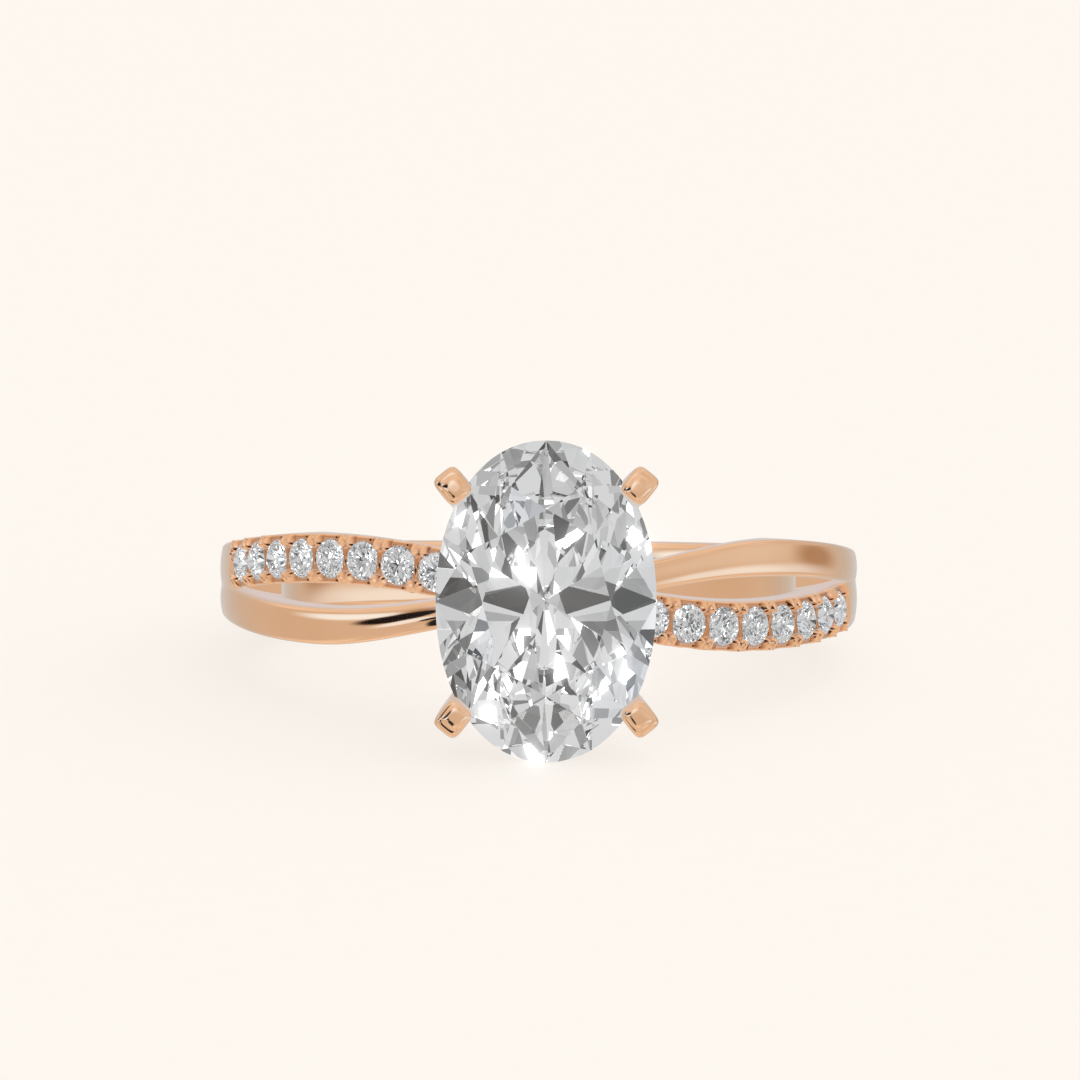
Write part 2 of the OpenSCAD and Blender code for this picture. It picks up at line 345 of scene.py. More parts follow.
def strand_face(z, middle, half):
    """Height of one strand's face from the outer radius, very low beside the strand."""
    x = z - middle
    height = -domed(np.clip(x, -half, half), half)
    return np.where(np.abs(x) < half + FACE_TOLERANCE, height, BESIDE_STRAND)


def from_head(a):
    """Angle from the head, and side, of an angle about the finger from 0 to 360."""
    return (a, 1) if a < 180 else (360 - a, -1)


def joined_section(a):
    """Half width and middle of the ring where the strands have joined."""
    reach, side = from_head(a)
    if reach > JOIN_ANGLE:
        return band_half(a - 180), band_middle(a - 180)
    offset = strand_offset(reach)
    plain_end, pave_end = offset + PLAIN_W / 2, -offset - PAVE_W / 2
    return (plain_end - pave_end) / 2, side * (plain_end + pave_end) / 2


# Inner face: how far its edges draw back, and the angle from the head where they fully do
BORE_DOME = 0.16
BORE_DOMED_ANGLE = 125
BORE_STEPS = 6
# Gap: its tip in the front outline, and the angle from the head where it ends at the finger
GAP_TIP_ANGLE = 74.8
GAP_TIP_R = WALL_R * math.sin(math.radians(GAP_TIP_ANGLE))
GAP_END = 90
GAP_STEPS = 7


def bore_rise(a, x, half):
    """How far the band's inner face curves away from the finger towards its edges."""
    return BORE_DOME * eased(share(from_head(a)[0], GAP_END, BORE_DOMED_ANGLE)) * (x / half) ** 2


JOINED_STEPS = 60
# Seam between the strands: its softness, which grows up to an angle, and where they become one face
SEAM_SOFT = 0.0005
SEAM_SOFT_GAIN = 0.02
SEAM_SOFT_ANGLE = 100
FUSED_ANGLES = (90, 130)


def joined_ring(a):
    """The outside of one cross-section where the strands have joined, from bore edge to bore edge."""
    reach, side = from_head(a)
    offset = strand_offset(reach)
    half, middle = joined_section(a)
    x = across(half, JOINED_STEPS)
    z = middle + x
    plain = strand_face(z, side * offset, PLAIN_W / 2)
    pave = strand_face(z, -side * offset, PAVE_W / 2)
    soft = SEAM_SOFT + SEAM_SOFT_GAIN * share(reach, JOINT_ANGLE, SEAM_SOFT_ANGLE)
    strands = soft * np.logaddexp(plain / soft, pave / soft)
    fused = eased(share(reach, *FUSED_ANGLES))
    r = OUTER_R + (1 - fused) * strands - fused * domed(x, half)
    corner_x = np.array([half - BORE_EDGE, half])
    corner_r = BORE_R + bore_rise(a, corner_x, half) + np.array([0, BORE_EDGE])
    x = np.concatenate([corner_x, x, -corner_x[::-1]])
    r = np.concatenate([corner_r, r, corner_r[::-1]])
    return on_ring(a, r, middle + x)


def gap_walls(a):
    """The gap's end behind the strands' joined faces, from the bore to its tip and back."""
    reach, side = from_head(a)
    tip = GAP_TIP_R / math.sin(math.radians(reach))
    r = np.linspace(BORE_R, tip, GAP_STEPS)
    offset = strand_offset(angle_in_front(reach, r))
    walls = np.sort([side * (offset - PLAIN_W / 2), side * (PAVE_W / 2 - offset)], axis=0)
    r = np.concatenate([r, r[-2::-1]])
    z = np.concatenate([walls[0][:-1], [walls[:, -1].mean()], walls[1][-2::-1]])
    return on_ring(a, r, z)


def bore_points(a, start, end):
    """Points of the band's inner face from one place along the finger to another, both included."""
    half, middle = joined_section(a)
    z = np.linspace(start, end, BORE_STEPS)
    return on_ring(a, BORE_R + bore_rise(a, z - middle, half), z)


def bore_ends(a):
    """Places along the finger where the inner face of the joined band starts and ends."""
    half, middle = joined_section(a)
    return middle - half + BORE_EDGE, middle + half - BORE_EDGE


def shoulder_ring(a):
    """One closed cross-section of a shoulder, with the end of the gap in its inner face."""
    start, end = bore_ends(a)
    gap = gap_walls(a)
    return np.concatenate([
        joined_ring(a),
        bore_points(a, start, gap[0, 2])[1:-1],
        gap,
        bore_points(a, gap[-1, 2], end)[1:-1],
    ])


def back_ring(a):
    """One closed cross-section of the band behind, with a point for each edge of the gap's end."""
    start, end = bore_ends(a)
    way = share(a, GAP_END, 360 - GAP_END)
    low, high = (1 - way) * gap_walls(GAP_END)[[0, -1], 2] + way * gap_walls(360 - GAP_END)[[0, -1], 2]
    return np.concatenate([
        joined_ring(a),
        bore_points(a, start, low)[1:],
        bore_points(a, low, high)[1:-1],
        bore_points(a, high, end)[:-1],
    ])


def joined_band():
    """The shoulders where the strands have joined, with the gaps' ends, and the band behind the finger."""
    shoulder = np.linspace(JOINT_ANGLE, GAP_END, int((GAP_END - JOINT_ANGLE) / STRAND_STEP) + 1)
    back = np.linspace(GAP_END, 360 - GAP_END, int((360 - 2 * GAP_END) / STRAND_STEP) + 1)
    parts = [skin([back_ring(a) for a in back], ends=0)]
    for angles in (shoulder, 360 - shoulder):
        parts.append(skin([shoulder_ring(a) for a in angles], ends=1))
        gap = gap_walls(angles[-1])
        bore_edge = bore_points(angles[-1], gap[-1, 2], gap[0, 2])[1:-1]
        end_face = np.concatenate([gap, bore_edge])
        parts.append((end_face, [list(range(len(end_face)))]))
    return joined_meshes(parts)


# Stone-set strand

def stone_angle(i):
    return FIRST_ANGLE + STONE_STEP * i


def climb(a):
    """Slope of the stone-set strand along the finger, as an angle in radians."""
    step = pave_offset(a + 1) - pave_offset(a - 1)
    return np.arctan2(step, 2 * OUTER_R * math.pi / 180)


def strand_coordinates(a, z, centre):
    """Distances along and across the stone-set strand from a centre on it, in the strand's own plane."""
    turn = climb(centre)
    along = np.radians(a - centre) * SMALL_GIRDLE_R
    over = z - pave_offset(centre)
    return along * np.cos(turn) + over * np.sin(turn), over * np.cos(turn) - along * np.sin(turn)


# A small claw: top, distance from the gap's middle, half width, end, roundness and outward fall
CLAW_TOP_R = 10.7
CLAW_LEAN = 0.165
CLAW_HALF = 0.14
CLAW_END = 0.38
CLAW_ROUND = 0.3
CLAW_ROUND_POWER = 1.2
CLAW_FALL = 0.16
CLAW_FALL_FROM = 0.52
CLAW_FALL_OVER = 0.25
CLAW_FALL_POWER = 1.8
# The face round a stone: valley, rim beside the stone, and pocket under it
VALLEY_R = 10.3
RIM_R = 10.52
RIM_SLOPE = 0.25
RIM_START = 0.1
RIM_ALONG = (0.42, 0.26)
POCKET_R = 10.26
POCKET_D = 1.29
POCKET_SOFT = 0.02


def soft_max(values, soft=0.018):
    total = values[0]
    for v in values[1:]:
        total = soft * np.logaddexp(total / soft, v / soft)
    return total


def small_claw(u, v, side):
    """Radius of one of the two claws that stand side by side between two stones."""
    v = np.abs(v)
    du = (u - side * CLAW_LEAN) / CLAW_HALF
    dv = np.clip(CLAW_END + CLAW_HALF - v, 0, None) / CLAW_HALF
    fall = CLAW_FALL * np.clip((v - CLAW_FALL_FROM) / CLAW_FALL_OVER, 0, 1) ** CLAW_FALL_POWER
    return CLAW_TOP_R - fall - CLAW_ROUND * (du ** 2 + dv ** 2) ** CLAW_ROUND_POWER


BAR_R = 10.545
BAR_CROWN = 0.02
BAR_SAG = 0.07
BAR_DROP = 0.26
BAR_EDGE = (0.09, 0.125)
BAR_END = (0.34, 0.44)


def bar(u, v):
    """Radius of the bar of metal between two stones, which covers the edges of both."""
    out = share(np.abs(u), *BAR_EDGE) + share(np.abs(v), *BAR_END)
    return BAR_R - BAR_DROP * out - BAR_CROWN * (u / BAR_EDGE[0]) ** 2 + BAR_SAG * (v / BAR_END[0]) ** 2


# Pits: places along and across the strand, the first two from a stone and the third from a gap
OUTER_PIT = (0.25, 0.70)
TIP_PIT = (0.43, 0.49)
SLIT = (0.0, 0.47)
PIT_R = 0.034
PIT_DEPTH = 0.06


def pits(us, vs, ug, vg):
    """Small deep corners left by the cutting tool, beside each stone and between two claws, as 0 to 1; the
    gold is also painted dark in them as shade.
    """
    distances = [
        np.hypot(us - OUTER_PIT[0], np.abs(vs) - OUTER_PIT[1]),
        np.hypot(np.abs(us) - TIP_PIT[0], np.abs(vs) - TIP_PIT[1]),
        np.hypot(ug - SLIT[0], np.abs(vg) - SLIT[1]),
    ]
    return sum(np.exp(-(d / PIT_R) ** 4) for d in distances)


def nearest(a):
    """Numbers of the small stone and of the gap that lie nearest to an angle."""
    index = (np.abs(a) - FIRST_ANGLE) / STONE_STEP
    stone = np.clip(np.round(index), 0, SMALL_COUNT - 1)
    gap = np.clip(np.floor(index) + 0.5, -0.5, SMALL_COUNT - 0.5)
    return stone, gap


def cells(a, z):
    """Distances along and across the strand from the nearest small stone and from the nearest gap."""
    side = np.sign(a)
    stone, gap = nearest(a)
    from_stone = strand_coordinates(a, z, side * stone_angle(stone))
    from_gap = strand_coordinates(a, z, side * stone_angle(gap))
    return (*from_stone, *from_gap)


def relief(a, x):
    """Radius of the stone-set face, by the angle and the place across the strand."""
    us, vs, ug, vg = cells(a, pave_offset(a) + x)
    from_stone = np.hypot(us, vs)
    beside = eased(share(np.abs(us), *RIM_ALONG))
    rim_fall = RIM_SLOPE * np.clip(np.abs(vs) - POCKET_D / 2 + RIM_START, 0, None)
    base = VALLEY_R + (RIM_R - VALLEY_R) * beside - rim_fall
    pocket = share(from_stone, POCKET_D / 2 + POCKET_SOFT, POCKET_D / 2 - POCKET_SOFT)
    base = np.maximum(base + (POCKET_R - base) * pocket, bar(ug, vg))
    claws = [small_claw(ug, vg, s) for s in (-1, 1)]
    return soft_max([base, *claws]) - PIT_DEPTH * pits(us, vs, ug, vg)


SET_BEGIN = stone_angle(-0.5)
# Tones as a depth: of the open face, and of the painted shade on the bars and low between the claws
SET_FACE = 0.1
SET_FACE_R = (10.1, 10.2)
BAR_PAINTED_SHADE = 0.36
BAR_PAINTED_SHADE_EDGE = (0.14, 0.11)
SHADE_TONE = 0.5
SHADED_R = (10.61, 10.38)
# Where the tones start, inwards from the strand's edges and from the two ends of the stone-set face
TONE_INWARDS = (0.03, 0.08)
TONE_BEGIN = 0.4
TONE_END = 0.3


def cut_face_and_painted_shade(points):
    """How deep each point lies in the corners between stones and claws, where shade is painted into the gold.

    It is 0 on the polished walls, SET_FACE on the open stone-set face and 1 in the deepest corners.
    """
    a = np.degrees(np.arctan2(points[:, 0], -points[:, 1]))
    x = points[:, 2] - pave_offset(a)
    r = np.hypot(points[:, 0], points[:, 1])
    inside = share(np.abs(x), PAVE_W / 2 - TONE_INWARDS[0], PAVE_W / 2 - TONE_INWARDS[1])
    inside = inside * share(np.abs(a), SET_BEGIN - TONE_BEGIN, SET_BEGIN)
    inside = inside * share(np.abs(a), PAVE_END, PAVE_END - TONE_END)
    us, vs, ug, vg = cells(a, points[:, 2])
    # Painted shade: brown on the bars and low between the claws
    on_bar = share(np.abs(ug), *BAR_PAINTED_SHADE_EDGE) * share(np.abs(vg), *BAR_END[::-1])
    low = np.maximum(SHADE_TONE * eased(share(r, *SHADED_R)), BAR_PAINTED_SHADE * on_bar)
    inside = inside * share(r, *SET_FACE_R)
    # Painted shade: dark in the pits, added to the tone
    return inside * np.clip(SET_FACE + low + pits(us, vs, ug, vg), 0, 1)


PAVE_EDGE_R = 0.07
FACE_BEGIN = (0.6, 0.1)
FACE_END = (0.2, -0.3)


def pave_face(a, x):
    """Radius of the whole strand's face: stone-set along the stones, polished before and after them."""
    half = PAVE_W / 2
    polished = OUTER_R - domed(x, half)
    set_part = relief(a, x) - edge_drop(x, half, PAVE_EDGE_R)
    begin = share(np.abs(a), SET_BEGIN - FACE_BEGIN[0], SET_BEGIN - FACE_BEGIN[1])
    end = share(np.abs(a), PAVE_END + FACE_END[0], PAVE_END + FACE_END[1])
    return polished + (set_part - polished) * eased(begin) * eased(end)


# Cuts in the side wall: depth, half width and the radii over which they deepen
GROOVE = 0.03
GROOVE_HALF = 0.05
GROOVE_R = (10.05, 10.4)
SCALLOP = 0.02
SCALLOP_HALF = 0.28
SCALLOP_R = (10.2, 10.4)


def wall_cut(a, r):
    """How far the side wall is cut back, by a groove at each gap and a scallop at each stone."""
    stone, gap = nearest(a)
    ug = np.radians(np.abs(a) - stone_angle(gap)) * SMALL_GIRDLE_R
    us = np.radians(np.abs(a) - stone_angle(stone)) * SMALL_GIRDLE_R
    groove = GROOVE * np.exp(-(ug / GROOVE_HALF) ** 2) * share(r, *GROOVE_R)
    scallop = SCALLOP * np.clip(1 - (us / SCALLOP_HALF) ** 2, 0, 1) * share(r, *SCALLOP_R)
    return groove + scallop


PAVE_STEPS = 67
PAVE_EDGE_STEPS = 4
PAVE_WALL_R = (BORE_R, BORE_R + BORE_EDGE, 9.1, 9.5, 9.8, 10.0, 10.15, 10.25, 10.33, 10.38)
WALL_BELOW_FACE = 0.005
WALL_CUT_INWARDS = (0.2, 0.02)


def pave_ring(a, inset):
    """One closed cross-section of the stone-set strand."""
    half = PAVE_W / 2
    x = across(half, PAVE_STEPS, PAVE_EDGE_R, PAVE_EDGE_STEPS)
    r = pave_face(np.full_like(x, a), x)
    wall_r = np.minimum(PAVE_WALL_R, r[0] - WALL_BELOW_FACE)
    wall_x = wall_places(half, wall_r)
    x = np.concatenate([wall_x, x, -wall_x[::-1]])
    r = np.concatenate([wall_r, r, wall_r[::-1]])
    at_edge = share(np.abs(x), half - WALL_CUT_INWARDS[0], half - WALL_CUT_INWARDS[1])
    x = x - np.sign(x) * wall_cut(a, r) * at_edge
    low = np.where(r < BORE_R + BORE_EDGE / 2, 1, -1)
    z = strand_middle(pave_offset, a, r, x, half) + x * (1 - inset / half)
    return on_ring(a, r + inset * low, z)


# Cross-sections before, along and after the stone-set face, and how far the fine ones reach past its ends
HEAD_STEPS = 22
SET_STEPS = 600
SHOULDER_STEPS = 16
FINE_BEFORE = 1
FINE_AFTER = 0.6
HEAD_START = 0.001


def pave_strand(side):
    """Half of the stone-set strand, from under the centre stone to the shoulder."""
    fine_start = SET_BEGIN - FINE_BEFORE
    fine_end = PAVE_END + FINE_AFTER
    angles = np.concatenate([
        np.linspace(HEAD_START, fine_start, HEAD_STEPS, endpoint=False),
        np.linspace(fine_start, fine_end, SET_STEPS, endpoint=False),
        np.linspace(fine_end, JOINT_ANGLE + LAP, SHOULDER_STEPS),
    ])
    return skin([pave_ring(side * a, inset) for a, inset in zip(angles, lap_inset(angles))])


# Setting

def outline(a, half_x, half_y, power):
    """Points of a rounded outline between an ellipse and a rectangle, by their angle in degrees."""
    c, s = np.cos(np.radians(a)), np.sin(np.radians(a))
    x = half_x * np.sign(c) * np.abs(c) ** (2 / power)
    y = half_y * np.sign(s) * np.abs(s) ** (2 / power)
    return x, y


def in_seat(x, y, z):
    """Points over the head, whose Z runs out from the finger and whose Y runs along it."""
    return np.stack(np.broadcast_arrays(x, -z, y), axis=-1)


# A claw's line, from its foot in the crossing, bowed outwards and then upright to its tip
FOOT_SHARE = 0.17
BOW_SHARE = 0.62
FOOT_R = OUTER_R - 0.8
BOW_R = FOOT_R + 0.7
UPRIGHT_R = OVAL_GIRDLE_R - 1.6
TIP_R = OVAL_GIRDLE_R + CLAW_H
CLAW_OUT = math.hypot(CLAW_X, CLAW_Y)
CLAW_TURN = math.atan2(CLAW_Y, CLAW_X)
CLAW_LINE = np.array([
    [FOOT_SHARE * CLAW_OUT, FOOT_R],
    [BOW_SHARE * CLAW_OUT, BOW_R],
    [CLAW_OUT, UPRIGHT_R],
    [CLAW_OUT, TIP_R],
])
# Its cross-sections: size at the foot, how fast that grows to full, and their outline
FOOT_SIZE = 0.72
FOOT_GROWTH = 1.3
CLAW_POWER = 4.2
CLAW_OUTLINE_STEP = 5
CLAW_STEPS = 30
CLAW_BODY_END = 0.945
LINE_STEP = 0.01
# Its cap, as share of the claw's thickness and rise above the tip plane: a bevel, a crease and a dome
CAP_BEVEL = [(1.0, -0.29), (0.99, -0.23), (0.975, -0.17), (0.95, -0.115), (0.92, -0.075), (0.88, -0.045),
             (0.84, -0.028), (0.80, -0.018), (0.75, -0.012)]
CAP_DOME_SHARE = 0.74
CAP_DOME_RISE = -0.01
CAP_DOME_POWER = 4
CAP_DOME_STEP = 5
CAP_TOP = 0.09
CAP_SHIFT = 0.08
CAP_LEAN = math.tan(math.radians(4))


def bezier(p, t):
    return ((1 - t) ** 3 * p[0] + 3 * t * (1 - t) ** 2 * p[1]
            + 3 * t * t * (1 - t) * p[2] + t ** 3 * p[3])


def claw_ring(t, size, rise):
    """One cross-section of a claw, rounder towards the middle of its cap."""
    c = bezier(CLAW_LINE, t)
    s = bezier(CLAW_LINE, min(1, t + LINE_STEP)) - bezier(CLAW_LINE, max(0, t - LINE_STEP))
    d = s / np.linalg.norm(s)
    grow = FOOT_SIZE + (1 - FOOT_SIZE) * min(1, t * FOOT_GROWTH)
    power = 2 + (CLAW_POWER - 2) * size ** 2
    around = np.arange(0, 360, CLAW_OUTLINE_STEP)
    p, q = outline(around, CLAW_L / 2 * grow * size, CLAW_W / 2 * grow * size, power)
    rise = rise - CAP_LEAN * p * (t == 1)
    p = p - CAP_SHIFT * min(1, (1 - size) / (1 - CAP_DOME_SHARE))
    return c[0] + p * d[1] + rise * d[0], q, c[1] - p * d[0] + rise * d[1]


def centre_claw(flip_x, flip_y):
    """One claw of the centre stone, from its foot in the crossing to its domed cap."""
    stations = [(t, 1, 0) for t in np.linspace(0, CLAW_BODY_END, CLAW_STEPS)]
    stations += [(1, size, rise) for size, rise in CAP_BEVEL]
    for lean in np.radians(np.arange(90, 0, -CAP_DOME_STEP)):
        dome = (CAP_TOP - CAP_DOME_RISE) * (1 - math.sin(lean) ** CAP_DOME_POWER)
        stations.append((1, CAP_DOME_SHARE * math.sin(lean), CAP_DOME_RISE + dome))
    turn_c, turn_s = math.cos(CLAW_TURN), math.sin(CLAW_TURN)
    rings = []
    for t, size, rise in stations:
        x, y, z = claw_ring(t, size, rise)
        rings.append(in_seat(flip_x * (x * turn_c - y * turn_s), flip_y * (x * turn_s + y * turn_c), z))
    return skin(rings)


RAIL_X = 2.95
RAIL_Y = RAIL_X * OVAL_L / OVAL_W
RAIL_R = OVAL_GIRDLE_R - 1.65
RAIL_STEP = 3.75
RAIL_OUTLINE_STEP = 22.5


def gallery_rail():
    """The plain oval rail that ties the claws together below the stone."""
    v = np.radians(np.arange(0, 360, RAIL_OUTLINE_STEP))
    reach = RAIL_D / 2 * np.cos(v)
    height = RAIL_R + RAIL_D / 2 * np.sin(v)
    rings = []
    for u in np.radians(np.arange(0, 360, RAIL_STEP)):
        rings.append(in_seat((RAIL_X + reach) * math.cos(u), (RAIL_Y + reach) * math.sin(u), height))
    return skin(rings, closed=True)


def cut_with(piece, cutter):
    """Cuts the cutter's shape out of the piece, for good, and removes the cutter."""
    modifier = piece.modifiers.new("seat", "BOOLEAN")
    modifier.operation = "DIFFERENCE"
    modifier.solver = "EXACT"
    modifier.object = cutter
    evaluated = piece.evaluated_get(bpy.context.evaluated_depsgraph_get())
    mesh = bpy.data.meshes.new_from_object(evaluated)
    piece.modifiers.clear()
    piece.data = mesh
    bpy.data.objects.remove(cutter)


# Cut stones: each is the space inside a set of facet planes

def plane_through(p, q, r):
    """A plane through three points, facing away from the stone's middle, as a normal and a distance."""
    n = np.cross(np.subtract(q, p), np.subtract(r, p))
    n = n / np.linalg.norm(n)
    if n @ np.asarray(p) < 0:
        n = -n
    return np.array([*n, n @ np.asarray(p)])


PARALLEL = 1e-7
INSIDE_MM = 1e-5
ON_FACET_MM = 1.5e-3
CORNER_DECIMALS = 3
# A direction that no facet faces, from which the corners of each are counted round
SIDEWAYS = (0.31, 0.52, 0.79)


def facet_solid(planes):
    """Points and flat faces of the space inside the planes."""
    planes = np.array(planes)
    count = len(planes)
    corners = []
    for i in range(count - 2):
        j, k = np.triu_indices(count - i - 1, 1)
        j, k = j + i + 1, k + i + 1
        a = np.stack([np.broadcast_to(planes[i], (len(j), 4)), planes[j], planes[k]], axis=1)
        det = np.linalg.det(a[:, :, :3])
        a = a[np.abs(det) > PARALLEL]
        p = np.linalg.solve(a[:, :, :3], a[:, :, 3:])[:, :, 0]
        inside = np.all(p @ planes[:, :3].T <= planes[:, 3] + INSIDE_MM, axis=1)
        corners.append(p[inside])
    corners = np.unique(np.round(np.concatenate(corners), CORNER_DECIMALS), axis=0)
    faces = []
    for plane in planes:
        on = np.flatnonzero(np.abs(corners @ plane[:3] - plane[3]) < ON_FACET_MM)
        if len(on) < 3:
            continue
        middle = corners[on].mean(0)
        u = np.cross(plane[:3], SIDEWAYS)
        w = np.cross(plane[:3], u)
        rel = corners[on] - middle
        faces.append(on[np.argsort(np.arctan2(rel @ w, rel @ u))].tolist())
    return corners, faces


# Sizes of the table, of the ring of star points and of the lower halves' tips, as shares of the outline
TABLE = 0.58
STAR = 0.78
HALF_TIP = 0.24
MAINS = 8
MAIN_STEP = 360 // MAINS
HALF_STEP = MAIN_STEP / 2
TANGENT_STEP = 0.05
CENTRE_SIDES = 64
SMALL_SIDES = 32
SMALL_CROWN = 0.15
SMALL_GIRDLE = 0.03
SMALL_PAVILION = 0.42


def brilliant(width, length, power, crown, girdle, pavilion, sides):
    """A brilliant cut with its girdle's lower edge on Z = 0: table, stars, kites, halves and mains."""
    hx, hy = width / 2, length / 2

    def at(a, size, z):
        x, y = outline(np.array(a, float), hx, hy, power)
        return np.array([size * float(x), size * float(y), z])

    def tangent(a):
        return at(a + TANGENT_STEP, 1, 0) - at(a - TANGENT_STEP, 1, 0)

    top = girdle + crown
    flat = math.cos(math.radians(HALF_STEP))
    star_z = girdle + crown * (1 - STAR * flat) / (1 - TABLE)
    tip_z = -pavilion * (1 - HALF_TIP * flat)
    planes = [np.array([0, 0, 1, top])]
    for k in range(MAINS):
        a = MAIN_STEP * k
        corner, edge = at(a, TABLE, top), at(a, 1, girdle)
        planes.append(plane_through(edge, edge + tangent(a), corner))
        star_point = at(a + HALF_STEP, STAR, star_z)
        planes.append(plane_through(corner, at(a + MAIN_STEP, TABLE, top), star_point))
        below = at(a, 1, 0)
        planes.append(plane_through(below, below + tangent(a), [0, 0, -pavilion]))
        tip = at(a + HALF_STEP, HALF_TIP, tip_z)
        for b in (a, a + HALF_STEP):
            planes.append(plane_through(at(b, 1, girdle), at(b + HALF_STEP, 1, girdle), star_point))
            planes.append(plane_through(at(b, 1, 0), at(b + HALF_STEP, 1, 0), tip))
    for a in np.arange(0, 360, 360 / sides) + 180 / sides:
        edge = at(a, 1, 0)
        planes.append(plane_through(edge, edge + tangent(a), edge + np.array([0, 0, 1])))
    return facet_solid(planes)


def centre_stone_cut(grow=0.0):
    points, faces = brilliant(OVAL_W + 2 * grow, OVAL_L + 2 * grow, OVAL_POWER, CROWN_H + grow, GIRDLE_H,
                              PAVILION_H + grow, CENTRE_SIDES)
    return in_seat(points[:, 0], points[:, 1], points[:, 2] + OVAL_GIRDLE_R), faces


def small_stone_cut(a, turn):
    """One small stone on the strand, turned in its seat."""
    points, faces = brilliant(SMALL_D, SMALL_D, 2, SMALL_CROWN * SMALL_D, SMALL_GIRDLE * SMALL_D,
                              SMALL_PAVILION * SMALL_D, SMALL_SIDES)
    spin = np.radians(turn) + climb(a)
    c, s = np.cos(spin), np.sin(spin)
    x, y = points[:, 0] * c - points[:, 1] * s, points[:, 0] * s + points[:, 1] * c
    out = points[:, 2] + SMALL_GIRDLE_R
    t = np.radians(a)
    placed = np.stack([out * np.sin(t) + x * np.cos(t),
                       -out * np.cos(t) + x * np.sin(t),
                       pave_offset(a) + y], axis=-1)
    return placed, faces


# Materials

class Nodes:
    """Short calls for building a node tree."""

    def __init__(self, tree):
        self.tree = tree
        tree.nodes.clear()

    def add(self, kind, inputs=(), **settings):
        node = self.tree.nodes.new(kind)
        for key, value in settings.items():
            setattr(node, key, value)
        for key, value in dict(inputs).items():
            if isinstance(value, bpy.types.NodeSocket):
                self.tree.links.new(value, node.inputs[key])
            else:
                node.inputs[key].default_value = value
        return node

    def coordinates(self, kind):
        return self.add("ShaderNodeTexCoord").outputs[kind]

    def math(self, operation, a, b=0.5):
        return self.add("ShaderNodeMath", {0: a, 1: b}, operation=operation).outputs[0]

    def dot(self, vector, axis):
        node = self.add("ShaderNodeVectorMath", {0: vector, 1: axis}, operation="DOT_PRODUCT")
        return node.outputs["Value"]

    def noise(self, vector, scale, detail):
        node = self.add("ShaderNodeTexNoise", {"Vector": vector, "Scale": scale, "Detail": detail})
        return node.outputs["Fac"]

    def remap(self, value, low, high, to_low, to_high, smooth=False):
        node = self.add("ShaderNodeMapRange", {"Value": value, "From Min": low, "From Max": high,
                                               "To Min": to_low, "To Max": to_high},
                        interpolation_type="SMOOTHSTEP" if smooth else "LINEAR")
        return node.outputs["Result"]

    def mix_colour(self, factor, a, b):
        node = self.add("ShaderNodeMix", {"Factor": factor, "A": a, "B": b}, data_type="RGBA")
        return node.outputs["Result"]


def new_material(name):
    material = bpy.data.materials.new(name)
    material.use_nodes = True
    return material, Nodes(material.node_tree)


GOLD = ((0.82, 0.475, 0.265, 1), (0.865, 0.51, 0.295, 1))
SET_GOLD = ((0.86, 0.45, 0.225, 1), (0.91, 0.49, 0.26, 1))
# Painted shade: brown for the corners between stones and claws, near black for the pits
SHADED_GOLD = (0.44, 0.16, 0.06, 1)
PIT_PAINTED_SHADE = (0.03, 0.008, 0.004, 1)
POLISHED_ROUGH = 0.07
SET_ROUGH = 0.15
# Depths at which the painted shade in the corners is fully brown and fully dark
BROWN_DEPTH = SET_FACE + 0.5
DARK_DEPTH = SET_FACE + 0.8
# Noise in the gold: its drifts of tone and its polishing marks, which change roughness and height
DRIFT_SCALE = 260.0
DRIFT_FROM = (0.35, 0.65)
MARKS_SCALE = 40000.0
MARKS_FROM = (0.3, 0.7)
MARKS_ROUGH = (0.85, 1.2)
MARKS_STRENGTH = 0.02
MARKS_DEPTH_M = 0.000002


def gold_drift(n, place):
    """How far the gold has drifted from its first tone to its second, as 0 to 1."""
    return n.remap(n.noise(place, DRIFT_SCALE, 3.0), *DRIFT_FROM, 0, 1)


def polished_metal(n, place, colour, roughness):
    """Metal with fine polishing marks, as the output of the material."""
    marks = n.noise(place, MARKS_SCALE, 2.0)
    rough = n.math("MULTIPLY", roughness, n.remap(marks, *MARKS_FROM, *MARKS_ROUGH))
    bump = n.add("ShaderNodeBump", {"Strength": MARKS_STRENGTH, "Distance": MARKS_DEPTH_M, "Height": marks})
    shader = n.add("ShaderNodeBsdfPrincipled", {"Base Color": colour, "Metallic": 1.0, "Roughness": rough,
                                                "Specular Tint": (1, 1, 1, 1), "Normal": bump.outputs[0]})
    n.add("ShaderNodeOutputMaterial", {"Surface": shader.outputs[0]})


def rose_gold():
    """Polished rose gold with faint drifts of tone."""
    material, n = new_material("rose_gold_polished")
    place = n.coordinates("Object")
    polished_metal(n, place, n.mix_colour(gold_drift(n, place), *GOLD), POLISHED_ROUGH)
    return material


def cut_rose_gold():
    """The same gold where stones are set in it: duller on the cut face, with shade painted brown in the
    corners and dark in the pits.
    """
    material, n = new_material("rose_gold_cut")
    place = n.coordinates("Object")
    drift = gold_drift(n, place)
    # Tone of the cut face and the painted shade in its corners, from the mesh
    depth = n.add("ShaderNodeAttribute", attribute_name="recess").outputs["Fac"]
    on_face = n.remap(depth, 0, SET_FACE, 0, 1)
    colour = n.mix_colour(on_face, n.mix_colour(drift, *GOLD), n.mix_colour(drift, *SET_GOLD))
    # Painted shade, brown in the corners and dark in the pits
    colour = n.mix_colour(n.remap(depth, SET_FACE, BROWN_DEPTH, 0, 1), colour, SHADED_GOLD)
    colour = n.mix_colour(n.remap(depth, BROWN_DEPTH, DARK_DEPTH, 0, 1), colour, PIT_PAINTED_SHADE)
    polished_metal(n, place, colour, n.remap(depth, 0, SET_FACE, POLISHED_ROUGH, SET_ROUGH))
    return material


